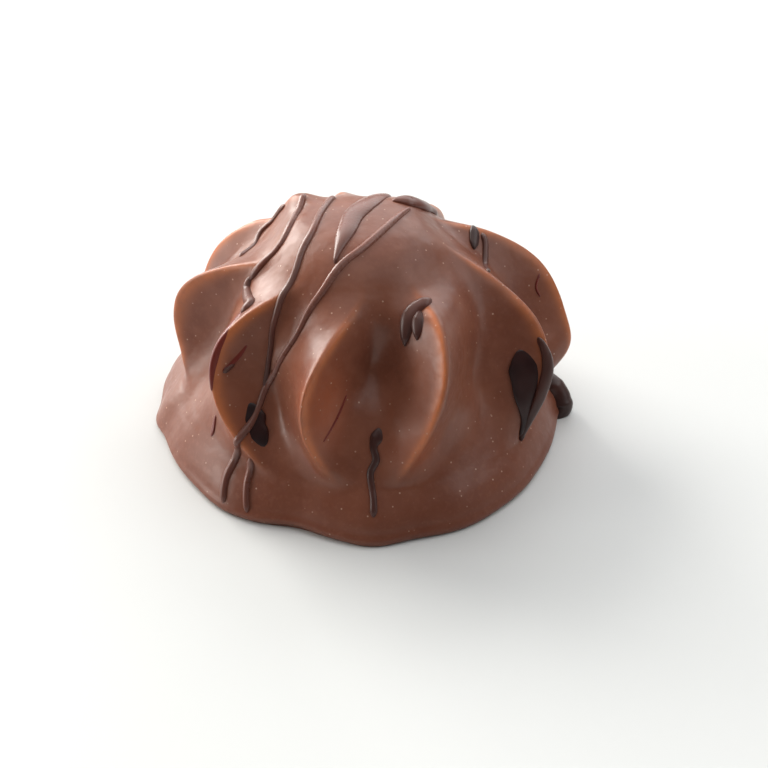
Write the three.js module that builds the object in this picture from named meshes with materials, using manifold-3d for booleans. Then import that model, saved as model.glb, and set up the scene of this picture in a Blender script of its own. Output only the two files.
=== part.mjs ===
// A round biscuit base with a piped nougat star on it, coated all over in milk chocolate
// and drizzled with thin strands of dark chocolate. Millimetres, +Z up, base on z = 0.
//
// The coat is one surface seen from an inner centre on the axis. A direction has an azimuth,
// measured from -Y towards +X, and a pitch above the horizontal. Every shape below is a
// radius from the inner centre for a direction, so the body stays one closed solid.
import * as THREE from 'three';
import { mergeVertices } from 'three/addons/utils/BufferGeometryUtils.js';
import Module from 'manifold-3d';

// Driving dimensions.
const CENTRE_HEIGHT = 6;        // inner centre above the floor
const CREST_RADIUS = 0.45;      // rounding of a ridge's edge
const UNEVENNESS = 0.14;        // slow waviness of the hand-made coat
const EDGE_ROLL = 0.5;          // how far the coat's lower edge curls in at the floor
const COLUMNS_PER_GAP = 10;     // mesh columns between neighbouring ridges
const ROWS = 38;                // mesh rows from the crown to the floor
const STRAND_STEP = 1.25;       // length of one section of a drizzled strand
const STRAND_SIDES = 6;

// Upright profiles as [pitch in degrees, radius]: ENVELOPE runs along the ridges' crests and
// GROUND along the valleys between them. They meet at the crown and at the biscuit's foot.
const ENVELOPE = [
  [108, 19.2], [90, 19.0], [72, 19.2], [57, 18.5], [43, 18.4], [28, 19.2], [16, 19.4],
  [7, 19.2], [0, 19.0], [-5, 19.3], [-10, 20.8], [-16, 22.2], [-30, 23.5],
];
const GROUND = [
  [108, 19.2], [90, 19.0], [72, 19.2], [57, 18.1], [43, 17.1], [28, 16.4], [16, 16.3],
  [7, 17.0], [0, 18.0], [-5, 19.3], [-10, 20.8], [-16, 22.2], [-30, 23.5],
];

// The star's ridges, in order round the piece. Each crest passes through three azimuths, at the
// pitches CREST_PITCHES. It swells beyond the envelope by "swell" mm at the pitch "at", and
// fades out at "ends". A flank falls away over "left" or "right" mm: [near the foot, near the
// crown]. Left is the side of smaller azimuth.
const CREST_PITCHES = [0, 27, 54];
const RIDGES = [
  { azimuths: [-162, -168, -170], swell: 0.9, at: 50, ends: [0, 78], left: [3.5, 6], right: [2, 3] },
  { azimuths: [-104, -121, -133], swell: 1.6, at: 56, ends: [0, 78], left: [3.5, 6], right: [2, 5] },
  { azimuths: [-88, -95, -84], swell: 2.3, at: 26, ends: [4, 62], left: [4.5, 8], right: [1.2, 3] },
  { azimuths: [-36, -58, -47], swell: 0.6, at: 27, ends: [0, 60], left: [4, 8], right: [1.2, 2.5] },
  { azimuths: [-9, -18.5, -5], swell: 0.1, at: 25, ends: [5, 58], left: [2.6, 5], right: [1.5, 3] },
  { azimuths: [12, 28.5, 38], swell: 0.6, at: 34, ends: [2, 56], left: [1.6, 3], right: [3, 8] },
  { azimuths: [62, 73.5, 86], swell: 2.8, at: 14, ends: [-9, 72], left: [0.9, 6], right: [4, 6] },
  { azimuths: [93, 104, 119], swell: 4.0, at: 17, ends: [-8, 66], left: [2.5, 3], right: [4, 6] },
  { azimuths: [146, 150, 143], swell: 0.9, at: 60, ends: [0, 80], left: [2, 3], right: [3.5, 6] },
];

// Hollows pressed into the valleys: place, reach in azimuth and pitch (degrees), depth (mm).
const HOLLOWS = [
  { azimuth: 6, pitch: 22, reach: [13, 15], depth: 2.0 },
  { azimuth: -34, pitch: 20, reach: [9, 16], depth: 0.7 },
  { azimuth: 52, pitch: 18, reach: [12, 16], depth: 0.7 },
  { azimuth: -78, pitch: 18, reach: [8, 16], depth: 0.7 },
];

// Lobes of the foot's outline: azimuth, reach (degrees) and how far the coat spreads (mm).
const FOOT_LOBES = [
  [-108, 17, 1.5], [-86, 6, 0.8], [-42, 9, 0.35], [-19, 9, -0.9], [4, 9, 0.9],
  [30, 14, 0.5], [52, 10, 0.3], [120, 25, 0.4], [178, 30, 0.5],
];

// Dark chocolate on the coat: the directions [azimuth, pitch] that each strand runs through,
// its half width and its height above the coat (mm).
const STRANDS = [
  { half: 0.38, height: 0.3, through: [[-133, 60], [-124, 56], [-115, 49], [-97, 47]] },
  { half: 0.42, height: 0.35, through: [[-142, 62], [-114, 68], [-83, 66], [-77, 58], [-74, 50]] },
  { half: 0.55, height: 0.5, through: [[-74, 51], [-69, 47], [-62, 45], [-62, 41]] },
  { half: 0.36, height: 0.3, through: [[-62, 42], [-59, 35], [-57, 28], [-56, 20]] },
  {
    half: 0.42,
    height: 0.35,
    through: [[-158, 69], [-120, 76], [-74, 75], [-57, 69], [-47, 58], [-44, 46], [-40, 30], [-39, 20]],
  },
  {
    half: 0.42,
    height: 0.35,
    through: [
      [124, 68], [106, 78], [61, 81], [7, 77], [-16, 69], [-27, 56], [-32, 43], [-38, 26],
      [-40, 12], [-42, 1], [-43, -7], [-41, -13],
    ],
  },
  { half: 0.85, height: 0.45, through: [[164, 72], [-150, 85], [-38, 82], [-24, 75], [-23, 71]] },
  { half: 1.35, height: 0.4, through: [[67, 25], [64, 17], [61, 8], [59, -4]] },
  { half: 0.42, height: 0.35, through: [[72, 24], [69, 15], [65, 8], [62, -5]] },
  { half: 0.65, height: 0.45, through: [[39, 54], [28, 53], [23, 49], [22, 43]] },
  { half: 0.4, height: 0.3, through: [[8, 16], [5, 10], [4, 3], [4, -4], [4, -8]] },
  { half: 0.4, height: 0.35, through: [[-36, 1], [-36, -6], [-33, -13]] },
  { half: 1.0, height: 0.3, through: [[-42, 16], [-38, 10], [-33, 5]] },
  { half: 0.5, height: 0.35, through: [[117, 47], [110, 48], [104, 48]] },
  { half: 0.36, height: 0.3, through: [[112, 46], [106, 44], [96, 43], [84, 46]] },
];

const DEGREE = Math.PI / 180;

// 0 below 0, 1 above 1, and a smooth step between.
function smoothStep(value) {
  return THREE.MathUtils.smoothstep(value, 0, 1);
}

// Degrees from one azimuth to another, the short way round.
function azimuthGap(from, to) {
  return THREE.MathUtils.euclideanModulo(to - from + 180, 360) - 180;
}

function bell(distance, reach) {
  return Math.exp(-((distance / reach) ** 2));
}

// A profile's radius at a pitch, on a smooth line through its rows.
function profileRadius(profile, pitch) {
  let row = 1;
  while (row < profile.length - 3 && profile[row + 1][0] > pitch) {
    row += 1;
  }
  const [before, start, end, after] = profile.slice(row - 1, row + 3);
  const span = end[0] - start[0];
  const startSlope = ((end[1] - before[1]) / (end[0] - before[0])) * span;
  const endSlope = ((after[1] - start[1]) / (after[0] - start[0])) * span;
  const t = (pitch - start[0]) / span;
  const t2 = t * t;
  const t3 = t2 * t;
  return (2 * t3 - 3 * t2 + 1) * start[1] + (t3 - 2 * t2 + t) * startSlope
    + (3 * t2 - 2 * t3) * end[1] + (t3 - t2) * endSlope;
}

// The crest's azimuth at a pitch: a parabola through the ridge's three azimuths.
function crestAzimuth(ridge, pitch) {
  const t = (THREE.MathUtils.clamp(pitch, -10, 60) - CREST_PITCHES[0]) / (CREST_PITCHES[1] - CREST_PITCHES[0]);
  const [low, middle, high] = ridge.azimuths;
  return low + t * (middle - low) + (t * (t - 1) * (high - 2 * middle + low)) / 2;
}

function crestRadius(ridge, pitch) {
  const end = pitch < ridge.at ? ridge.ends[0] : ridge.ends[1];
  const t = Math.min((pitch - ridge.at) / (end - ridge.at), 1);
  return profileRadius(ENVELOPE, pitch) + ridge.swell * (1 - t * t) ** 2;
}

// The valleys' surface, with its hollows and the foot's lobes.
function groundRadius(azimuth, pitch) {
  let radius = profileRadius(GROUND, pitch);
  for (const hollow of HOLLOWS) {
    const across = bell(azimuthGap(hollow.azimuth, azimuth), hollow.reach[0]);
    radius -= hollow.depth * across * bell(pitch - hollow.pitch, hollow.reach[1]);
  }
  const atFoot = smoothStep((6 - pitch) / 16);
  for (const [place, reach, spread] of FOOT_LOBES) {
    radius += spread * bell(azimuthGap(place, azimuth), reach) * atFoot;
  }
  return radius - EDGE_ROLL * smoothStep((-12.5 - pitch) / 4) ** 2;
}

// How far a ridge stands above the ground: full at its crest, with flanks that fall off
// steeply at first and flatten towards the valley.
function ridgeHeight(ridge, azimuth, pitch, ground) {
  const radius = crestRadius(ridge, pitch);
  const rise = radius - ground;
  const height = (rise + Math.sqrt(rise * rise + 0.02)) / 2 - 0.07;
  const fade = smoothStep((pitch - ridge.ends[0] + 8) / 8);
  const level = Math.cos(pitch * DEGREE);
  const slant = ((crestAzimuth(ridge, pitch + 1) - crestAzimuth(ridge, pitch - 1)) / 2) * level;
  const gap = azimuthGap(crestAzimuth(ridge, pitch), azimuth);
  const across = (gap * DEGREE * radius * level) / Math.hypot(1, slant);
  const along = THREE.MathUtils.clamp((pitch - ridge.ends[0]) / (ridge.ends[1] - ridge.ends[0]), 0, 1);
  const flank = across < 0 ? ridge.left : ridge.right;
  const width = THREE.MathUtils.lerp(flank[0], flank[1], along);
  return Math.max(height * fade, 0) * Math.exp(-(Math.hypot(across, CREST_RADIUS) - CREST_RADIUS) / width);
}

// Slow hand-made waviness, gone at the crown's centre.
function wave(azimuth, pitch) {
  const round = azimuth * DEGREE;
  const up = pitch * DEGREE;
  const waves = Math.sin(4 * round + 6 * up + 0.7) + 0.6 * Math.sin(7 * round - 9 * up + 2.1);
  return UNEVENNESS * Math.cos(up) ** 2 * waves;
}

function coatRadius(azimuth, pitch) {
  const ground = groundRadius(azimuth, pitch);
  let sum = 0;
  for (const ridge of RIDGES) {
    sum += ridgeHeight(ridge, azimuth, pitch, ground) ** 3;
  }
  return ground + Math.cbrt(sum) + wave(azimuth, pitch);
}

// The point at a radius in a direction.
function pointAt(azimuth, pitch, radius) {
  const level = radius * Math.cos(pitch * DEGREE);
  return new THREE.Vector3(
    level * Math.sin(azimuth * DEGREE),
    -level * Math.cos(azimuth * DEGREE),
    CENTRE_HEIGHT + radius * Math.sin(pitch * DEGREE),
  );
}

// The pitch at which the coat meets the floor.
function floorPitch(azimuthAt) {
  let pitch = -15;
  for (let round = 0; round < 12; round += 1) {
    pitch = -Math.asin(CENTRE_HEIGHT / coatRadius(azimuthAt(pitch), pitch)) / DEGREE;
  }
  return pitch;
}

// Azimuth of a mesh column: the columns follow the crests, and crowd towards them.
function columnAzimuth(column, pitch) {
  const place = column / COLUMNS_PER_GAP;
  const index = Math.floor(place) % RIDGES.length;
  const next = (index + 1) % RIDGES.length;
  const from = crestAzimuth(RIDGES[index], pitch);
  const turn = THREE.MathUtils.euclideanModulo(crestAzimuth(RIDGES[next], pitch) - from, 360);
  const t = place - Math.floor(place);
  return from + turn * (t - (0.5 * Math.sin(2 * Math.PI * t)) / (2 * Math.PI));
}

// A closed geometry as a solid, with only its positions and shared vertices.
function toSolid(wasm, geometry) {
  geometry.deleteAttribute('normal');
  geometry.deleteAttribute('uv');
  const merged = mergeVertices(geometry, 1e-5);
  return new wasm.Manifold(new wasm.Mesh({
    numProp: 3,
    vertProperties: new Float32Array(merged.attributes.position.array),
    triVerts: new Uint32Array(merged.index.array),
  }));
}

function toGeometry(solid) {
  const mesh = solid.getMesh();
  const geometry = new THREE.BufferGeometry();
  geometry.setAttribute('position', new THREE.BufferAttribute(new Float32Array(mesh.vertProperties), 3));
  geometry.setIndex(new THREE.BufferAttribute(new Uint32Array(mesh.triVerts), 1));
  geometry.computeVertexNormals();
  return geometry;
}

// The coated body: a sphere's grid of columns and rows drawn onto the coat. Its last row of
// vertices, the sphere's lower pole, closes the flat base at the floor's centre.
function coatGeometry() {
  const columns = RIDGES.length * COLUMNS_PER_GAP;
  const geometry = new THREE.SphereGeometry(1, columns, ROWS + 1);
  const position = geometry.attributes.position;
  for (let column = 0; column <= columns; column += 1) {
    const azimuthAt = (pitch) => columnAzimuth(column % columns, pitch);
    const lowest = floorPitch(azimuthAt);
    for (let row = 0; row <= ROWS; row += 1) {
      const pitch = THREE.MathUtils.lerp(90, lowest, row / ROWS);
      const azimuth = row === 0 ? 0 : azimuthAt(pitch);
      const point = pointAt(azimuth, pitch, coatRadius(azimuth, pitch));
      if (row === ROWS) {
        point.z = 0;
      }
      position.setXYZ(row * (columns + 1) + column, point.x, point.y, point.z);
    }
    position.setXYZ((ROWS + 1) * (columns + 1) + column, 0, 0, 0);
  }
  return geometry;
}

// A strand of dark chocolate: a sphere's grid drawn along a curve on the coat, thick in the
// middle and rounded off at both ends.
function strandGeometry(strand) {
  const directions = strand.through.map(([azimuth, pitch]) => pointAt(azimuth, pitch, coatRadius(azimuth, pitch)));
  const curve = new THREE.CatmullRomCurve3(directions, false, 'centripetal');
  const length = curve.getLength();
  const steps = Math.max(5, Math.ceil(length / STRAND_STEP));
  const centres = curve.getSpacedPoints(steps).map((point) => {
    const flat = Math.hypot(point.x, point.y);
    const azimuth = Math.atan2(point.x, -point.y) / DEGREE;
    const pitch = Math.atan2(point.z - CENTRE_HEIGHT, flat) / DEGREE;
    return pointAt(azimuth, pitch, coatRadius(azimuth, pitch));
  });
  const geometry = new THREE.SphereGeometry(1, STRAND_SIDES, steps);
  const position = geometry.attributes.position;
  const middle = new THREE.Vector3(0, 0, CENTRE_HEIGHT);
  for (let row = 0; row <= steps; row += 1) {
    const before = centres[Math.max(row - 1, 0)];
    const after = centres[Math.min(row + 1, steps)];
    const forward = after.clone().sub(before).normalize();
    const outward = centres[row].clone().sub(middle);
    outward.addScaledVector(forward, -outward.dot(forward)).normalize();
    const sideways = new THREE.Vector3().crossVectors(outward, forward);
    const toEnd = (Math.min(row, steps - row) * length) / steps;
    const fullness = Math.sqrt(Math.min(1, toEnd / (2 * strand.half)));
    for (let side = 0; side <= STRAND_SIDES; side += 1) {
      const angle = ((side % STRAND_SIDES) / STRAND_SIDES) * 2 * Math.PI;
      const point = centres[row].clone();
      point.addScaledVector(sideways, -Math.cos(angle) * strand.half * fullness);
      point.addScaledVector(outward, Math.sin(angle) * strand.height * fullness);
      position.setXYZ(row * (STRAND_SIDES + 1) + side, point.x, point.y, point.z);
    }
  }
  return geometry;
}

const wasm = await Module();
wasm.setup();

let cookie = toSolid(wasm, coatGeometry());
for (const strand of STRANDS) {
  cookie = cookie.add(toSolid(wasm, strandGeometry(strand)));
}

const milkChocolate = new THREE.MeshStandardMaterial({ color: 0x6b4334, roughness: 0.42, metalness: 0 });
const coatedCookie = new THREE.Mesh(toGeometry(cookie), milkChocolate);
coatedCookie.name = 'coated_cookie';

const group = new THREE.Group();
group.add(coatedCookie);

export default group;
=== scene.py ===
"""A nougat star cookie: milk chocolate coat, dark chocolate drizzle, pale table, soft daylight."""

import math

import bpy
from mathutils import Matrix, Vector


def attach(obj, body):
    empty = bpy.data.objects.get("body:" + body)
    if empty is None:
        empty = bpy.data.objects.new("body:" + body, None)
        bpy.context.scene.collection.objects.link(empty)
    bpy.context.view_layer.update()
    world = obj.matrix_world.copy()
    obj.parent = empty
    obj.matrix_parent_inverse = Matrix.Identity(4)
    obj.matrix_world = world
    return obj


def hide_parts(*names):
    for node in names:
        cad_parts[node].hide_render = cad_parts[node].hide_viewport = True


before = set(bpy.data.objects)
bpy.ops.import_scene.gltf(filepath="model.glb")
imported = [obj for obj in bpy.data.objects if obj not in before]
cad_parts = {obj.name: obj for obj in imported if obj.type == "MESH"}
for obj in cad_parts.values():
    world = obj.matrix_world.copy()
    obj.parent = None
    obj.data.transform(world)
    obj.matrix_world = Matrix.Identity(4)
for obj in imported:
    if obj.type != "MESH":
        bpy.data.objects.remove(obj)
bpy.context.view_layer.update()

MM = 0.001

# ---------------------------------------------------------------------------------------------
# Shape of the coat, in millimetres and degrees. A direction from the inner centre has an
# azimuth, from -Y towards +X, and a pitch above the horizontal; the coat is a radius for it.
# ---------------------------------------------------------------------------------------------

CENTRE_HEIGHT = 6.0
LOWEST_PITCH = -17.5
COLUMNS = 441
ROWS = 220
CROWDING = 0.5

# A crest bends between two pitches, and its azimuth is given every so many degrees of pitch.
CREST_PITCHES = (-10.0, 60.0)
CREST_STEP = 27.0

# How round a crest is and how softly it rises from the ground; over which pitches, from its lower
# end, it comes in; and how many times wider its flanks are where it has all but gone.
CREST_RADIUS = 0.35
RISE_ROUNDING = 0.02
RISE_OFFSET = 0.07
RIDGE_FADE = (-13.0, 1.0)
RIDGE_SPREAD = 3.0

# The painted glow of light through the thin coat beside a crest: how far from the crest, how wide, and how
# high a ridge has to stand for it to show in full.
GLOW_OFFSET = 0.25
GLOW_REACH = 0.42
GLOW_HEIGHT = 2.2

# The foot: the pitches over which its lobes come in and its edge rolls under, how far it rolls,
# and how uneven the whole coat is.
FOOT_PITCHES = (6.0, -10.0)
ROLL_PITCHES = (-12.5, -16.5)
EDGE_ROLL = 0.5
UNEVENNESS = 0.14

# Where the coat goes, as radius by pitch: along the crests, and between the ridges.
ENVELOPE = [
    (108, 19.2), (90, 19.0), (72, 19.1), (57, 18.1), (43, 18.6), (28, 19.8), (16, 19.7),
    (7, 19.2), (0, 19.0), (-5, 19.3), (-10, 20.8), (-16, 22.2), (-30, 23.5),
]
GROUND = [
    (108, 19.2), (90, 19.0), (72, 19.1), (57, 17.5), (43, 16.3), (28, 15.9), (16, 16.1),
    (7, 16.9), (0, 18.0), (-5, 19.3), (-10, 20.8), (-16, 22.2), (-30, 23.5),
]

# Each ridge of the star: its crest's azimuth at pitch 0, 27 and 54, how far it swells beyond
# the envelope and at which pitch, and where it ends. For its left and its right flank, the width
# near the foot and near the crown and how full it is, from 1, a cusp, to 2, a bell. Last, the
# side on which the coat is thinnest and its painted glow of light shows: 1 for right, -1 for left.
RIDGES = [
    dict(azimuths=(-162, -168, -170), swell=1.3, at=54, ends=(0, 78),
         left=(3.5, 6, 1), right=(1.6, 3, 1.1), thin=1),
    dict(azimuths=(-104, -121, -133), swell=1.35, at=54, ends=(0, 78),
         left=(3.5, 6, 1), right=(1.6, 4, 1.1), thin=1),
    dict(azimuths=(-88, -95, -84), swell=1.6, at=27, ends=(4, 62),
         left=(4.5, 8, 1), right=(1.2, 1.5, 1.1), thin=1),
    dict(azimuths=(-36, -53.5, -49), swell=1.1, at=32, ends=(0, 62),
         left=(3.0, 5, 1), right=(1.3, 1.2, 1.1), thin=1),
    dict(azimuths=(-9, -17, -5), swell=1.2, at=30, ends=(4, 64),
         left=(1.2, 8, 1), right=(1.6, 2.2, 1), thin=1),
    dict(azimuths=(13, 25.3, 36), swell=3.0, at=40, ends=(2, 62),
         left=(1.9, 2.5, 1.15), right=(4, 7, 1), thin=-1),
    dict(azimuths=(62, 73.5, 86), swell=2.1, at=12, ends=(-9, 74),
         left=(2.0, 3.4, 1.1), right=(4, 6, 1), thin=-1),
    dict(azimuths=(93, 104, 119), swell=3.2, at=20, ends=(-8, 70),
         left=(2.4, 3, 1.1), right=(4, 6, 1), thin=-1),
    dict(azimuths=(146, 150, 143), swell=1.25, at=59, ends=(0, 80),
         left=(1.8, 3, 1.1), right=(3.5, 6, 1), thin=-1),
]

# Hollows in the valleys: azimuth, pitch, reach in both, depth.
HOLLOWS = [
    (7, 39, 13, 15, 2.4), (50, 25, 10, 14, 1.0), (-34, 18, 9, 16, 1.0), (-32, 47, 11, 10, 1.3),
    (-77, 18, 9, 16, 1.0),
]

# Swellings of the whole coat and, where negative, flats: azimuth, pitch, reach in both, height.
LUMPS = [
    (94, 5, 9, 8, 1.8), (93, -12, 5, 4, 0.6), (-139, 61, 12, 6, 1.1), (-132, 49, 10, 5, -0.6),
    (178, 65, 20, 8, -0.4),
]

# Painted glow of light through the thin coat, a warmer brown: azimuth, pitch, reach in both, how strongly.
WARM_GLOW_PLACES = [(-11, 24, 6, 14, 0.8), (19, 10, 7, 9, 0.7), (-45, 8, 6, 8, 0.3), (69, 4, 3, 8, 0.8)]

# Lobes of the foot's outline: azimuth, reach, spread.
FOOT_LOBES = [
    (-108, 17, 1.5), (-86, 6, 0.8), (-42, 9, 0.35), (-19, 9, -0.9), (4, 9, 0.9),
    (30, 14, 0.5), (52, 10, 0.3), (120, 25, 0.4), (178, 30, 0.5),
]

# Dark chocolate on the coat: height above it, how dark at the start and at the end, from 0 for a
# milky film to 1 for nearly black, then (azimuth, pitch, half width) along the strand.
STRANDS = [
    # Poured lines from the crown down the left, the first over the rear left ridge.
    (0.30, 0.3, 0.4, [(-131, 58, .38), (-130, 52, .36), (-121, 45, .38), (-100, 46, .3)]),
    (0.36, 0.1, 0.5, [(-139, 64, .40), (-119, 67, .38), (-88, 65, .40), (-80, 57, .42), (-79, 49, .5)]),
    # Where the second line folds over the front left ridge and runs out as a red film.
    (0.50, 0.5, 0.4, [(-80, 50, .5), (-77, 46.5, .55), (-67, 46, .6), (-60, 46, .6), (-59, 42, .5)]),
    (0.12, 0.5, 0.7, [(-60, 43, .45), (-56, 36, .55), (-54.5, 30, .55), (-53, 24, .45),
                      (-50.8, 18.5, .16)]),
    # The two long lines that meet in the valley; the second goes on to the foot.
    (0.34, 0.1, 0.8, [(-157, 69, .4), (-122, 76, .4), (-76, 75, .38), (-59, 69, .38), (-50, 62, .36),
                      (-46, 51, .36), (-45, 43, .34), (-43, 36, .32), (-41, 22, .3)]),
    (0.36, 0.0, 0.5, [(124, 71, .16), (114, 76, .34), (63, 81.5, .42), (6, 77, .42), (-16, 70, .4),
                      (-24, 62, .4), (-30, 53, .38), (-33, 44, .36), (-38, 31, .34), (-41, 22, .34),
                      (-40, 10, .38), (-42, 1, .4), (-43, -7, .4), (-41, -13, .42)]),
    # The broad leaf over the crown, and the drop behind it.
    (0.34, 0.1, 0.5, [(158, 64, .5), (163, 73, 1.1), (172, 80, 1.2), (-152, 86, 1.15), (-42, 84.5, 1.0),
                      (-28, 79, .7), (-24, 74, .4), (-22, 70, .16)]),
    (0.50, 0.4, 0.5, [(144, 73, .5), (140, 71, .9), (136, 68, 1.0), (134, 63, .9), (136, 57, .7),
                      (136, 51, .4)]),
    # The tear and the sickle beside it, low on the right ridge.
    (0.28, 1.0, 1.0, [(67.2, 23.8, .8), (66.3, 20.5, 1.15), (64.8, 16, 1.25), (62.5, 10, 1.0),
                      (61, 3, .6), (60, -4, .35)]),
    (0.46, 0.75, 0.9, [(71, 25, .3), (68.6, 17, .66), (64.9, 10, .66), (61.7, 2, .5), (60.5, -6, .3)]),
    # The forked drip on the top of the front right ridge.
    (0.50, 0.55, 0.8, [(40, 53.5, .5), (35, 53.5, .66), (30, 53, .8), (26, 51, .86), (23, 47.5, .66),
                       (21, 43, .32)]),
    (0.45, 0.75, 0.8, [(31, 52, .5), (27.5, 48, .62), (25, 43.5, .3)]),
    # Down the front of the skirt, and down its left.
    (0.30, 0.9, 0.8, [(7.5, 16, .75), (6.5, 13.5, .8), (5, 10, .42), (5.6, 6, .4), (3.6, 2, .36),
                      (4.2, -4, .36), (4, -8, .4)]),
    (0.40, 0.2, 0.5, [(-36.5, 0.5, .46), (-36, -6, .38), (-33, -13, .36)]),
    # The black drop in the left valley, under the long line.
    (0.30, 1.0, 1.0, [(-43, 16.5, .7), (-40, 12, .95), (-38, 9, .8), (-33.5, 4, .95)]),
    # A drop and a line on the rear right ridge.
    (0.35, 0.9, 0.9, [(116, 48.5, .45), (110, 48, .55), (104, 48, .4)]),
    (0.30, 0.5, 0.7, [(112, 46, .36), (107, 44, .34), (98, 43, .36), (84, 46, .3)]),
    # The thick lump at the foot on the right.
    (1.45, 0.8, 0.95, [(97, -5, .7), (95, -7.5, 1.3), (93, -10.5, 1.1), (91, -14, 1.25), (88, -16, .8)]),
    # Scratches, small films and a bead.
    (0.08, 0.5, 0.3, [(-5, 28, .07), (-8, 20, .13), (-11.5, 13, .08)]),
    (0.12, 0.7, 0.8, [(-50, 35, .12), (-50.5, 30, .22), (-51, 25, .14)]),
    (0.34, 0.7, 0.7, [(-50.2, 28, .2), (-50.8, 24.5, .32)]),
    (0.15, 0.6, 0.6, [(-57.5, 4.5, .22), (-55.5, -2, .32)]),
    (0.12, 0.4, 0.4, [(102, 27, .10), (99.5, 25, .14), (98, 22, .10)]),
]

# The strands' lines are drawn at this radius before they are laid on the coat. Their tips are
# rounded over so many half widths, and no part is thinner than this share of its half width.
PATH_RADIUS = 18.5
TIP_LENGTH = 1.6
THINNEST = 0.02

# The strands' mesh: the step along them, their sides, how uneven their width is, and the waves of
# that unevenness to the metre.
STRAND_STEP = 0.13
STRAND_SIDES = 20
STRAND_UNEVENNESS = 0.3
STRAND_GRAIN = 260.0


def profile_radius(profile, pitch):
    """A profile's radius at a pitch, on a smooth line through its rows."""
    row = 1
    while row < len(profile) - 3 and profile[row + 1][0] > pitch:
        row += 1
    before, start, end, after = profile[row - 1:row + 3]
    span = end[0] - start[0]
    start_slope = (end[1] - before[1]) / (end[0] - before[0]) * span
    end_slope = (after[1] - start[1]) / (after[0] - start[0]) * span
    t = (pitch - start[0]) / span
    return ((2 * t**3 - 3 * t**2 + 1) * start[1] + (t**3 - 2 * t**2 + t) * start_slope
            + (3 * t**2 - 2 * t**3) * end[1] + (t**3 - t**2) * end_slope)


# ---------------------------------------------------------------------------------------------
# Node trees as formulas.
# ---------------------------------------------------------------------------------------------


class Value:
    """A node's output, with Python's operators, so that node maths reads as a formula."""

    def __init__(self, tree, socket):
        self.tree = tree
        self.socket = socket

    def maths(self, operation, *others, swap=False):
        terms = [*others, self] if swap else [self, *others]
        return add_node(self.tree, "ShaderNodeMath", {"operation": operation}, terms)

    def __add__(self, other):
        return self.maths("ADD", other)

    __radd__ = __add__

    def __sub__(self, other):
        return self.maths("SUBTRACT", other)

    def __rsub__(self, other):
        return self.maths("SUBTRACT", other, swap=True)

    def __mul__(self, other):
        return self.maths("MULTIPLY", other)

    __rmul__ = __mul__

    def __truediv__(self, other):
        return self.maths("DIVIDE", other)

    def __rtruediv__(self, other):
        return self.maths("DIVIDE", other, swap=True)

    def __pow__(self, other):
        return self.maths("POWER", other)

    def __neg__(self):
        return self * -1.0

    def exp(self):
        return self.maths("EXPONENT")

    def root(self):
        return self.maths("SQRT")

    def sin(self):
        return self.maths("SINE")

    def cos(self):
        return self.maths("COSINE")

    def least(self, other):
        return self.maths("MINIMUM", other)

    def most(self, other):
        return self.maths("MAXIMUM", other)

    def below(self, other):
        return self.maths("LESS_THAN", other)

    def radians(self):
        return self.maths("RADIANS")

    def degrees(self):
        return self.maths("DEGREES")

    def ramp(self, start, end, low=0.0, high=1.0, smooth=True):
        """Low at start, high at end, and a smooth or straight run between."""
        kind = "SMOOTHSTEP" if smooth else "LINEAR"
        return add_node(self.tree, "ShaderNodeMapRange", {"interpolation_type": kind, "clamp": True},
                        {"Value": self, "From Min": start, "From Max": end, "To Min": low, "To Max": high})

    def output(self, name):
        """Another output of the node that this one comes from."""
        return Value(self.tree, self.socket.node.outputs[name])


def add_node(tree, kind, settings=None, inputs=None, output=0):
    """Adds a node, sets its options, and fills its inputs with numbers or links."""
    made = tree.nodes.new(kind)
    for name, setting in (settings or {}).items():
        setattr(made, name, setting)
    pairs = inputs.items() if isinstance(inputs, dict) else enumerate(inputs or [])
    for key, value in pairs:
        if isinstance(value, Value):
            tree.links.new(value.socket, made.inputs[key])
        else:
            made.inputs[key].default_value = value
    return Value(tree, made.outputs[output])


def new_group(name, inputs, outputs):
    """A geometry node group with named inputs; returns the tree and its inputs by name."""
    tree = bpy.data.node_groups.new(name, "GeometryNodeTree")
    for label, kind in inputs:
        tree.interface.new_socket(label, in_out="INPUT", socket_type="NodeSocket" + kind)
    for label, kind in outputs:
        tree.interface.new_socket(label, in_out="OUTPUT", socket_type="NodeSocket" + kind)
    entry = tree.nodes.new("NodeGroupInput")
    return tree, {label: Value(tree, entry.outputs[label]) for label, _ in inputs}


def close_group(tree, results):
    """Links a group's results to its outputs."""
    out = tree.nodes.new("NodeGroupOutput")
    for label, value in results.items():
        tree.links.new(value.socket, out.inputs[label])
    return tree


def use_group(tree, group, inputs):
    """A node group with its inputs filled by name."""
    return add_node(tree, "GeometryNodeGroup", {"node_tree": group}, inputs)


def blend(start, end, share):
    """Start where the share is 0, end where it is 1."""
    return start + (end - start) * share


# ---------------------------------------------------------------------------------------------
# The coat's radius as node groups.
# ---------------------------------------------------------------------------------------------


def crest_place(pitch):
    """How far up its crest a ridge is at a pitch, in steps of the crest's azimuths."""
    lowest, highest = CREST_PITCHES
    return pitch.most(lowest).least(highest) / CREST_STEP


def crest_azimuth(azimuths, t):
    """The crest's azimuth: a parabola through three azimuths, at t = 0, 1 and 2."""
    low, middle, high = azimuths
    return low + t * (middle - low) + t * (t - 1.0) * ((high - middle * 2.0 + low) * 0.5)


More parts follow.
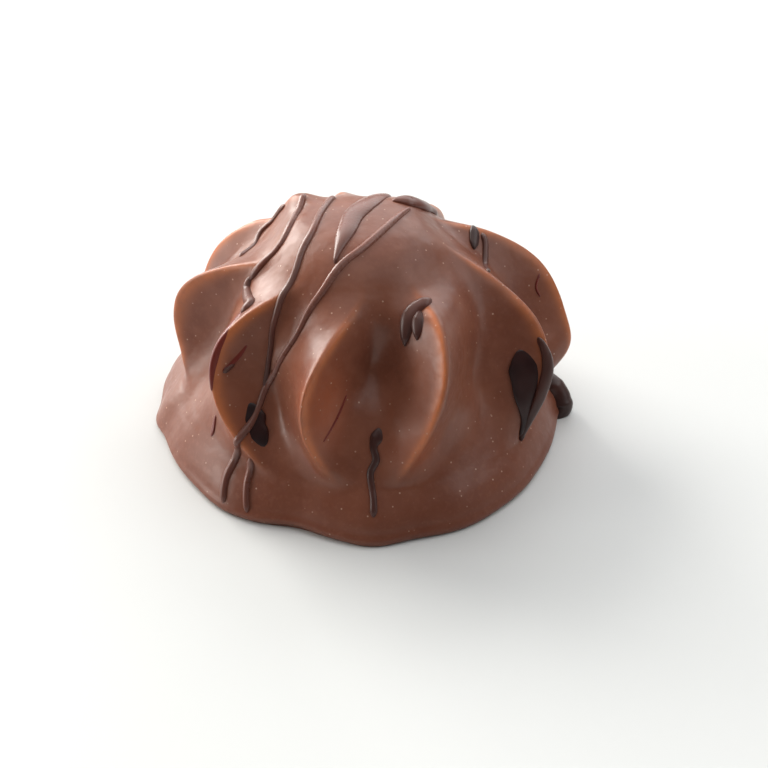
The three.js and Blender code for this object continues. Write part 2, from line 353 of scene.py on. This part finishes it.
def profile_value(tree, profile, pitch):
    """A profile as a curve node: radius from pitch."""
    lowest, highest, smallest, largest = -20.0, 92.0, 15.0, 24.0
    made = add_node(tree, "ShaderNodeFloatCurve", None,
                    {"Value": (pitch - lowest) / (highest - lowest)})
    mapping = made.socket.node.mapping
    line = mapping.curves[0]
    count = 28
    for index in [0, count, *range(1, count)]:
        share = index / count
        radius = profile_radius(profile, blend(lowest, highest, share))
        place = (share, (radius - smallest) / (largest - smallest))
        if index == 0:
            line.points[0].location = place
        elif index == count:
            line.points[1].location = place
        else:
            line.points.new(*place)
    mapping.update()
    return made * (largest - smallest) + smallest


RIDGE_INPUTS = [
    "Azimuth", "Pitch", "Envelope", "Ground", "Low azimuth", "Middle azimuth", "High azimuth", "Swell",
    "Swell pitch", "Lower end", "Upper end", "Left at foot", "Left at crown", "Left fullness",
    "Right at foot", "Right at crown", "Right fullness", "Glow side",
]


def make_ridge_group():
    """One ridge: how high it stands above the ground, and how strongly the painted glow of light through
    its thin edge shows.
    """
    tree, given = new_group("star_ridge", [(label, "Float") for label in RIDGE_INPUTS],
                            [("Height", "Float"), ("Edge glow", "Float")])
    pitch = given["Pitch"]
    t = crest_place(pitch)
    azimuths = [given["Low azimuth"], given["Middle azimuth"], given["High azimuth"]]
    crest = crest_azimuth(azimuths, t)
    one_degree_up = crest_azimuth(azimuths, t + 1.0 / CREST_STEP)
    level = pitch.radians().cos()
    slant = (one_degree_up - crest) * level

    under = pitch.below(given["Swell pitch"])
    end = blend(given["Upper end"], given["Lower end"], under)
    far = ((pitch - given["Swell pitch"]) / (end - given["Swell pitch"])).least(1.0)
    radius = given["Envelope"] + given["Swell"] * (1.0 - far * far) * (1.0 - far * far)
    rise = radius - given["Ground"]
    height = ((rise + (rise * rise + RISE_ROUNDING).root()) * 0.5 - RISE_OFFSET).most(0.0)
    shown = (pitch - given["Lower end"]).ramp(*RIDGE_FADE)
    height = height * shown

    gap = (given["Azimuth"] - crest).maths("WRAP", 180.0, -180.0)
    across = gap.radians() * radius * level / (slant * slant + 1.0).root()
    along = ((pitch - given["Lower end"]) / (given["Upper end"] - given["Lower end"])).most(0.0).least(1.0)
    along = along * along
    left = blend(given["Left at foot"], given["Left at crown"], along)
    right = blend(given["Right at foot"], given["Right at crown"], along)
    on_left = across.below(0.0)
    width = blend(right, left, on_left) * (RIDGE_SPREAD - shown * (RIDGE_SPREAD - 1.0))
    fullness = blend(given["Right fullness"], given["Left fullness"], on_left)
    away = (across * across + CREST_RADIUS**2).root() - CREST_RADIUS
    # The painted glow of light through the thin coat lies beside the crest, on the side given for it.
    beside = (across - given["Glow side"] * GLOW_OFFSET) / GLOW_REACH
    edge_glow = (height / GLOW_HEIGHT).least(1.0) * (-(beside * beside)).exp()
    return close_group(tree, {"Height": height * (-((away / width) ** fullness)).exp(), "Edge glow": edge_glow})


def make_coat_group():
    """The coat's radius, and the shares of painted glow of light through its thin edges and at its warm
    places, for an azimuth and a pitch.
    """
    tree, given = new_group("coat_radius", [("Azimuth", "Float"), ("Pitch", "Float")],
                            [("Radius", "Float"), ("Edge glow", "Float"), ("Warm glow", "Float")])
    azimuth, pitch = given["Azimuth"], given["Pitch"]

    def bell(distance, reach):
        share = distance / reach
        return (-(share * share)).exp()

    def azimuth_bell(centre, reach):
        return bell((azimuth - centre).maths("WRAP", 180.0, -180.0), reach)

    envelope = profile_value(tree, ENVELOPE, pitch)
    ground = profile_value(tree, GROUND, pitch)
    for place, at, reach, pitch_reach, depth in HOLLOWS:
        ground = ground - azimuth_bell(place, reach) * bell(pitch - at, pitch_reach) * depth
    at_foot = pitch.ramp(*FOOT_PITCHES)
    for place, reach, spread in FOOT_LOBES:
        ground = ground + azimuth_bell(place, reach) * at_foot * spread
    roll = pitch.ramp(*ROLL_PITCHES)
    ground = ground - roll * roll * EDGE_ROLL

    # The ridges' heights are joined as the root of a sum of cubes, so that the highest rules.
    total = None
    edge_glow = None
    for ridge in RIDGES:
        sizes = [*ridge["azimuths"], ridge["swell"], ridge["at"], *ridge["ends"],
                 *ridge["left"], *ridge["right"], ridge["thin"]]
        inputs = [azimuth, pitch, envelope, ground, *map(float, sizes)]
        made = use_group(tree, RIDGE_GROUP, dict(zip(RIDGE_INPUTS, inputs)))
        cube = made * made * made
        total = cube if total is None else total + cube
        # The painted glow of light through thin edges: the strongest of any ridge.
        thin = made.output("Edge glow")
        edge_glow = thin if edge_glow is None else edge_glow.most(thin)
    relief = (total.most(0.0)) ** (1.0 / 3.0)

    for place, at, reach, pitch_reach, height in LUMPS:
        relief = relief + azimuth_bell(place, reach) * bell(pitch - at, pitch_reach) * height

    # Two slow waves, so that no slope is quite even.
    turn, up = azimuth.radians(), pitch.radians()
    waves = (turn * 4.0 + up * 6.0 + 0.7).sin() + (turn * 7.0 - up * 9.0 + 2.1).sin() * 0.6
    radius = ground + relief + waves * up.cos() * up.cos() * UNEVENNESS

    # Painted glow of light through the thin coat, at the listed warm places.
    warm_glow = 0.0
    for place, at, reach, pitch_reach, strength in WARM_GLOW_PLACES:
        warm_glow = azimuth_bell(place, reach) * bell(pitch - at, pitch_reach) * strength + warm_glow
    return close_group(tree, {"Radius": radius, "Edge glow": edge_glow, "Warm glow": warm_glow})


def vector(tree, x, y, z):
    """A vector from its three parts."""
    return add_node(tree, "ShaderNodeCombineXYZ", None, [x, y, z])


def on_coat(tree, azimuth, pitch, radius):
    """The point at a radius in a direction, in metres, never below the floor."""
    turn, up = azimuth.radians(), pitch.radians()
    level = radius * up.cos() * MM
    height = ((radius * up.sin() + CENTRE_HEIGHT) * MM).most(0.0)
    return vector(tree, level * turn.sin(), -(level * turn.cos()), height)


def direction_of(tree, position):
    """Azimuth, pitch and distance from the inner centre of a position in metres."""
    parts = add_node(tree, "ShaderNodeSeparateXYZ", None, [position])
    x, y = parts / MM, parts.output("Y") / MM
    z = parts.output("Z") / MM - CENTRE_HEIGHT
    flat = (x * x + y * y).root()
    azimuth = x.maths("ARCTAN2", -y).degrees()
    pitch = z.maths("ARCTAN2", flat).degrees()
    return azimuth, pitch, (flat * flat + z * z).root()


def store(tree, mesh, name, value):
    """Keeps a value on the mesh's points for its material."""
    return add_node(tree, "GeometryNodeStoreNamedAttribute", {"data_type": "FLOAT", "domain": "POINT"},
                    {"Geometry": mesh, "Name": name, "Value": value})


def finish_tree(tree, mesh, material):
    """Smooth faces, real instances, and the material that the modifier names."""
    mesh = add_node(tree, "GeometryNodeSetShadeSmooth", None, {"Geometry": mesh})
    mesh = add_node(tree, "GeometryNodeRealizeInstances", None, {"Geometry": mesh})
    mesh = add_node(tree, "GeometryNodeSetMaterial", None, {"Geometry": mesh, "Material": material})
    return close_group(tree, {"Geometry": mesh})


# ---------------------------------------------------------------------------------------------
# The pieces' trees.
# ---------------------------------------------------------------------------------------------


def make_coat_tree():
    """The coat: a grid whose columns follow the ridges' crests, drawn onto the coat's radius."""
    tree, given = new_group("milk_coat", [
        ("Geometry", "Geometry"), ("Columns", "Int"), ("Rows", "Int"), ("Crowding", "Float"),
        ("Lowest pitch", "Float"), ("Material", "Material"),
    ], [("Geometry", "Geometry")])
    grid = add_node(tree, "GeometryNodeMeshGrid", None, {
        "Size X": float(len(RIDGES)), "Size Y": 1.0,
        "Vertices X": given["Columns"] + 1, "Vertices Y": given["Rows"] + 1,
    })
    place = add_node(tree, "GeometryNodeInputPosition")
    split = add_node(tree, "ShaderNodeSeparateXYZ", None, [place])
    column = split + len(RIDGES) / 2
    row = (split.output("Y") + 0.5) * given["Rows"]
    share = ((row - 1.0) / (given["Rows"] - 1.0)).most(0.0)
    pitch = given["Lowest pitch"] + share * (90.0 - given["Lowest pitch"])

    # Columns crowd together at the crests, and the last ridge is joined to the first.
    crests = [crest_azimuth(ridge["azimuths"], crest_place(pitch)) for ridge in RIDGES]
    crests.append(crests[0] + 360.0)
    azimuth = crests[0]
    for index in range(len(RIDGES)):
        step = (column - float(index)).most(0.0).least(1.0)
        eased = step - (step * (2 * math.pi)).sin() * given["Crowding"] / (2 * math.pi)
        azimuth = azimuth + (crests[index + 1] - crests[index]) * eased

    # Row 0 is drawn in to one point on the floor, which closes the underside.
    coat = use_group(tree, COAT_GROUP, {"Azimuth": azimuth, "Pitch": pitch})
    above_first = row.ramp(0.2, 0.8, smooth=False)
    spot = on_coat(tree, azimuth, pitch, coat * above_first)
    flat = add_node(tree, "ShaderNodeVectorMath", {"operation": "MULTIPLY"},
                    [spot, vector(tree, 1.0, 1.0, above_first)])
    # The shares of painted glow, kept on the points for the material.
    mesh = store(tree, grid, "edge_glow", coat.output("Edge glow"))
    mesh = store(tree, mesh, "warm_glow", coat.output("Warm glow"))
    mesh = add_node(tree, "GeometryNodeSetPosition", None, {"Geometry": mesh, "Position": flat})
    mesh = add_node(tree, "GeometryNodeMergeByDistance", None, {"Geometry": mesh, "Distance": 1e-7})
    return finish_tree(tree, mesh, given["Material"])


def make_strand_tree():
    """Strands of chocolate: paths of directions, laid on the coat and pressed to their height."""
    tree, given = new_group("strands", [
        ("Geometry", "Geometry"), ("Step", "Float"), ("Sides", "Int"), ("Unevenness", "Float"),
        ("Grain", "Float"), ("Material", "Material"),
    ], [("Geometry", "Geometry")])

    def named(label):
        return add_node(tree, "GeometryNodeInputNamedAttribute", {"data_type": "FLOAT"},
                        {"Name": label})

    line = add_node(tree, "GeometryNodeMeshToCurve", None, {"Mesh": given["Geometry"]})
    line = add_node(tree, "GeometryNodeCurveSplineType", {"spline_type": "CATMULL_ROM"}, {"Curve": line})
    line = add_node(tree, "GeometryNodeResampleCurve", {"mode": "LENGTH"},
                    {"Curve": line, "Length": given["Step"]})
    place = add_node(tree, "GeometryNodeInputPosition")
    azimuth, pitch, _ = direction_of(tree, place)
    coat = use_group(tree, COAT_GROUP, {"Azimuth": azimuth, "Pitch": pitch})
    line = add_node(tree, "GeometryNodeSetPosition", None,
                    {"Geometry": line, "Position": on_coat(tree, azimuth, pitch, coat)})

    half = named("half_width")
    along = add_node(tree, "GeometryNodeSplineParameter", output="Length")
    whole = add_node(tree, "GeometryNodeSplineLength")
    to_end = along.least(whole - along) / MM
    fullness = (to_end / (half * TIP_LENGTH)).most(0.0).least(1.0).root().most(THINNEST)
    wobble = add_node(tree, "ShaderNodeTexNoise", {"noise_dimensions": "3D"},
                      {"Vector": place, "Scale": given["Grain"], "Detail": 0.0})
    uneven = (wobble - 0.5) * given["Unevenness"] + 1.0
    ring = add_node(tree, "GeometryNodeCurvePrimitiveCircle", None,
                    {"Resolution": given["Sides"], "Radius": 1.0})
    mesh = add_node(tree, "GeometryNodeCurveToMesh", None,
                    {"Curve": line, "Profile Curve": ring, "Scale": half * fullness * uneven * MM,
                     "Fill Caps": True})

    azimuth, pitch, distance = direction_of(tree, place)
    coat = use_group(tree, COAT_GROUP, {"Azimuth": azimuth, "Pitch": pitch})
    lift = (distance - coat) * (named("height") / half)
    mesh = add_node(tree, "GeometryNodeSetPosition", None,
                    {"Geometry": mesh, "Position": on_coat(tree, azimuth, pitch, coat + lift)})
    return finish_tree(tree, mesh, given["Material"])


def run_tree(name, mesh, tree, inputs):
    """Runs a tree on a mesh and keeps the result as a plain mesh object at the origin."""
    source = bpy.data.objects.new(name + "_source", mesh)
    bpy.context.scene.collection.objects.link(source)
    modifier = source.modifiers.new("shape", "NODES")
    modifier.node_group = tree
    identifiers = {item.name: item.identifier for item in tree.interface.items_tree
                   if item.in_out == "INPUT"}
    for label, value in inputs.items():
        modifier[identifiers[label]] = value
    evaluated = source.evaluated_get(bpy.context.evaluated_depsgraph_get())
    result = bpy.data.objects.new(name, bpy.data.meshes.new_from_object(evaluated))
    bpy.data.objects.remove(source)
    result.data.name = name
    bpy.context.scene.collection.objects.link(result)
    return result


def paths_mesh(name, strands):
    """The strands' directions as a mesh of open lines, with their sizes as attributes."""
    points, edges, halves, heights, tones = [], [], [], [], []
    for height, start_tone, end_tone, places in strands:
        for index, (azimuth, pitch, half) in enumerate(places):
            if index:
                edges.append((len(points) - 1, len(points)))
            turn, up = math.radians(azimuth), math.radians(pitch)
            level = PATH_RADIUS * math.cos(up)
            points.append(Vector((level * math.sin(turn), -level * math.cos(turn),
                                  CENTRE_HEIGHT + PATH_RADIUS * math.sin(up))) * MM)
            halves.append(half)
            heights.append(height)
            tones.append(blend(start_tone, end_tone, index / (len(places) - 1)))
    mesh = bpy.data.meshes.new(name)
    mesh.from_pydata(points, edges, [])
    for label, values in (("half_width", halves), ("height", heights), ("tone", tones)):
        mesh.attributes.new(label, "FLOAT", "POINT").data.foreach_set("value", values)
    return mesh


# ---------------------------------------------------------------------------------------------
# Materials.
# ---------------------------------------------------------------------------------------------


def new_material(name):
    """A material with an empty node tree."""
    material = bpy.data.materials.new(name)
    material.use_nodes = True
    tree = material.node_tree
    tree.nodes.clear()
    return material, tree


def millimetres(tree):
    """Object coordinates in millimetres."""
    place = add_node(tree, "ShaderNodeTexCoord", output="Object")
    return add_node(tree, "ShaderNodeVectorMath", {"operation": "SCALE"}, {0: place, "Scale": 1.0 / MM})


def stored(tree, name):
    """A value that the piece's own tree, or its paths, keep on the mesh."""
    return add_node(tree, "ShaderNodeAttribute", {"attribute_name": name}, output="Fac")


def noise(tree, place, scale, detail):
    """Soft noise from 0 to 1, with so many waves to the millimetre."""
    return add_node(tree, "ShaderNodeTexNoise", None,
                    {"Vector": place, "Scale": scale, "Detail": detail})


def mix_colour(tree, share, first, second):
    """The first colour where the share is 0, the second where it is 1.

    The Mix node's sockets share their names, so they go by number.
    """
    colours = [value if isinstance(value, Value) else (*value, 1.0) for value in (first, second)]
    share_input, first_input, second_input, colour_output = 0, 6, 7, 2
    return add_node(tree, "ShaderNodeMix", {"data_type": "RGBA", "clamp_factor": True},
                    {share_input: share, first_input: colours[0], second_input: colours[1]},
                    output=colour_output)


def bump(tree, height, strength, distance):
    """A normal that rises and falls with a height, by a distance in metres."""
    return add_node(tree, "ShaderNodeBump", None,
                    {"Height": height, "Strength": strength, "Distance": distance})


def finish_material(tree, shader_inputs):
    """The one shader, and the material's output."""
    shader = add_node(tree, "ShaderNodeBsdfPrincipled", None, shader_inputs)
    out = tree.nodes.new("ShaderNodeOutputMaterial")
    tree.links.new(shader.socket, out.inputs["Surface"])


# Colours, and the heights in millimetres between which dark chocolate thins to a red film.
MILK = (0.226, 0.079, 0.046)
MILK_DEEP = (0.188, 0.062, 0.036)
MILK_BLOOM = (0.262, 0.101, 0.062)
# The next colour is painted shade for the lower coat.
MILK_FOOT_SHADE = (0.160, 0.049, 0.027)
# The next two colours are painted glow of light shining through thin coat.
WARM_GLOW = (0.360, 0.100, 0.045)
AMBER_GLOW = (0.530, 0.165, 0.062)
DARK = (0.019, 0.006, 0.006)
DARK_RED = (0.034, 0.010, 0.009)
FILM = (0.240, 0.105, 0.080)
FILM_RED = (0.250, 0.088, 0.060)
FILM_ON_EDGE = (0.170, 0.020, 0.013)
SPECK = (0.660, 0.440, 0.330)
TABLE = (0.670, 0.685, 0.680)
TABLE_LIGHT = (0.700, 0.715, 0.710)
FILM_HEIGHTS = (0.26, 0.12)


def milk_chocolate():
    """Satin milk chocolate: cloudy brown, a painted amber glow of light through thin edges and warm
    places, painted shade low down, tiny bubbles.
    """
    material, tree = new_material("milk_chocolate")
    place = millimetres(tree)
    cloud = noise(tree, place, 0.16, 1.0).ramp(0.35, 0.68)
    colour = mix_colour(tree, cloud, MILK_DEEP, MILK)
    bloom = noise(tree, place, 0.55, 1.0).ramp(0.4, 0.75)
    colour = mix_colour(tree, bloom * 0.35, colour, MILK_BLOOM)
    # Painted glow, a warmer brown where light shines through the thin coat.
    colour = mix_colour(tree, stored(tree, "warm_glow"), colour, WARM_GLOW)
    # Painted amber glow of light through the thin coat beside the crests.
    thin = (stored(tree, "edge_glow") * noise(tree, place, 0.35, 2.0).ramp(0.25, 0.6, 0.65, 1.0)).least(1.0)
    colour = mix_colour(tree, (thin ** 1.4) * 0.85, colour, AMBER_GLOW)

    # Painted shade: the coat darker towards the foot.
    height = add_node(tree, "ShaderNodeSeparateXYZ", None, [place]).output("Z")
    colour = mix_colour(tree, height.ramp(10.0, 1.0) * 0.6, colour, MILK_FOOT_SHADE)
    grain = noise(tree, place, 2.4, 1.0).ramp(0.5, 0.72)
    colour = mix_colour(tree, grain * 0.22, colour, MILK_BLOOM)

    cells = add_node(tree, "ShaderNodeTexVoronoi", {"feature": "F1"},
                     {"Vector": place, "Scale": 1.15, "Randomness": 1.0}, output="Distance")
    lucky = add_node(tree, "ShaderNodeSeparateXYZ", None, [cells.output("Color")])
    speck = cells.ramp(0.14, 0.06) * lucky.ramp(0.2, 0.8)
    colour = mix_colour(tree, speck * 0.6, colour, SPECK)

    normal = bump(tree, noise(tree, place, 0.45, 2.0), 0.35, 0.3 * MM)
    roughness = noise(tree, place, 0.9, 1.0).ramp(0.3, 0.7, 0.31, 0.40)
    finish_material(tree, {
        "Base Color": colour, "Roughness": roughness, "Normal": normal, "IOR": 1.46,
        "Specular IOR Level": 0.40, "Subsurface Weight": 0.12, "Subsurface Radius": (1.0, 0.45, 0.25),
        "Subsurface Scale": 0.8 * MM,
    })
    return material


def dark_chocolate():
    """Dark chocolate: nearly black where thick, a milky brown where thin, red as a film."""
    material, tree = new_material("dark_chocolate")
    place = millimetres(tree)
    tone = stored(tree, "tone")
    cloud = noise(tree, place, 0.3, 1.0).ramp(0.4, 0.72)
    thick = mix_colour(tree, cloud, DARK, DARK_RED)
    thin = mix_colour(tree, cloud, FILM, FILM_RED)
    colour = mix_colour(tree, tone, thin, thick)
    colour = mix_colour(tree, stored(tree, "height").ramp(*FILM_HEIGHTS) * 0.8, colour, FILM_ON_EDGE)
    roughness = noise(tree, place, 1.2, 1.0).ramp(0.3, 0.7, 0.22, 0.30) + tone * 0.12
    normal = bump(tree, noise(tree, place, 0.7, 0.0), 0.1, 0.06 * MM)
    finish_material(tree, {
        "Base Color": colour, "Roughness": roughness, "Normal": normal, "IOR": 1.5,
        "Specular IOR Level": 0.42, "Subsurface Weight": 0.05, "Subsurface Radius": (1.0, 0.3, 0.2),
        "Subsurface Scale": 0.3 * MM,
    })
    return material


def table_white():
    """A matt white table with the faintest mottling."""
    material, tree = new_material("table_white")
    place = millimetres(tree)
    colour = mix_colour(tree, noise(tree, place, 0.02, 2.0), TABLE, TABLE_LIGHT)
    finish_material(tree, {"Base Color": colour, "Roughness": 0.6})
    return material


# ---------------------------------------------------------------------------------------------
# Stage, lights and camera.
# ---------------------------------------------------------------------------------------------

TABLE_REACH = 1.5
DAYLIGHT = (1.0, 0.97, 0.92)
WHITE = (1.0, 1.0, 1.0)
LIGHT_TARGET = (0.0, 0.0, 0.01)
ROOM_LIGHT = 0.05

# Each light: place, width and height, watts and colour.
LIGHTS = {
    "window": ((-0.77, 0.77, 0.46), (0.75, 0.8), 22.5, DAYLIGHT),
    "left": ((-1.15, -0.05, 0.28), (0.6, 0.5), 7.0, DAYLIGHT),
    "back": ((0.25, 1.05, 0.60), (1.4, 0.7), 9.0, WHITE),
    "sky": ((0.0, 0.1, 1.4), (1.8, 1.8), 11.0, WHITE),
    "side": ((1.0, 0.0, 0.8), (1.3, 0.7), 5.5, WHITE),
}

CAMERA_PLACE = (0.00251, -0.18404, 0.14292)
CAMERA_TILT = 53.0
LENS = 100.0
SENSOR = 36.0


def make_floor(material):
    """The table, which is stage only."""
    mesh = bpy.data.meshes.new("table")
    side = TABLE_REACH
    mesh.from_pydata([(-side, -side, 0), (side, -side, 0), (side, side, 0), (-side, side, 0)],
                     [], [(0, 1, 2, 3)])
    mesh.materials.append(material)
    floor = bpy.data.objects.new("table", mesh)
    bpy.context.scene.collection.objects.link(floor)


def make_light(name, place, size, power, colour):
    """A rectangular light that faces the cookie."""
    data = bpy.data.lights.new(name, "AREA")
    data.shape = "RECTANGLE"
    data.size, data.size_y = size
    data.energy = power
    data.color = colour
    light = bpy.data.objects.new(name, data)
    light.location = place
    towards = Vector(LIGHT_TARGET) - Vector(place)
    light.rotation_euler = towards.to_track_quat("-Z", "Y").to_euler()
    bpy.context.scene.collection.objects.link(light)


def make_lights():
    """Daylight from the back left, soft fill from the other sides, and a dim room."""
    for name, light in LIGHTS.items():
        make_light(name, *light)
    world = bpy.data.worlds.new("room")
    world.use_nodes = True
    background = world.node_tree.nodes["Background"]
    background.inputs["Color"].default_value = (1.0, 1.0, 0.99, 1.0)
    background.inputs["Strength"].default_value = ROOM_LIGHT
    bpy.context.scene.world = world
    bpy.context.scene.view_settings.view_transform = "Standard"


def make_camera():
    """The photograph's camera: in front, 37 degrees above the table."""
    data = bpy.data.cameras.new("camera")
    data.lens = LENS
    data.sensor_width = SENSOR
    data.clip_start = 0.01
    camera = bpy.data.objects.new("camera", data)
    camera.location = CAMERA_PLACE
    camera.rotation_euler = (math.radians(CAMERA_TILT), 0.0, 0.0)
    bpy.context.scene.collection.objects.link(camera)
    bpy.context.scene.camera = camera


# ---------------------------------------------------------------------------------------------
# The object.
# ---------------------------------------------------------------------------------------------

RIDGE_GROUP = make_ridge_group()
COAT_GROUP = make_coat_group()

make_camera()
make_lights()
make_floor(table_white())

milk = milk_chocolate()
dark = dark_chocolate()

coat = run_tree("milk_coat", bpy.data.meshes.new("empty"), make_coat_tree(), {
    "Columns": COLUMNS, "Rows": ROWS, "Crowding": CROWDING, "Lowest pitch": LOWEST_PITCH,
    "Material": milk,
})
drizzle = run_tree("dark_drizzle", paths_mesh("drizzle_paths", STRANDS), make_strand_tree(), {
    "Step": STRAND_STEP * MM, "Sides": STRAND_SIDES, "Unevenness": STRAND_UNEVENNESS,
    "Grain": STRAND_GRAIN, "Material": dark,
})

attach(coat, "root")
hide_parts("coated_cookie")
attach(drizzle, "root")
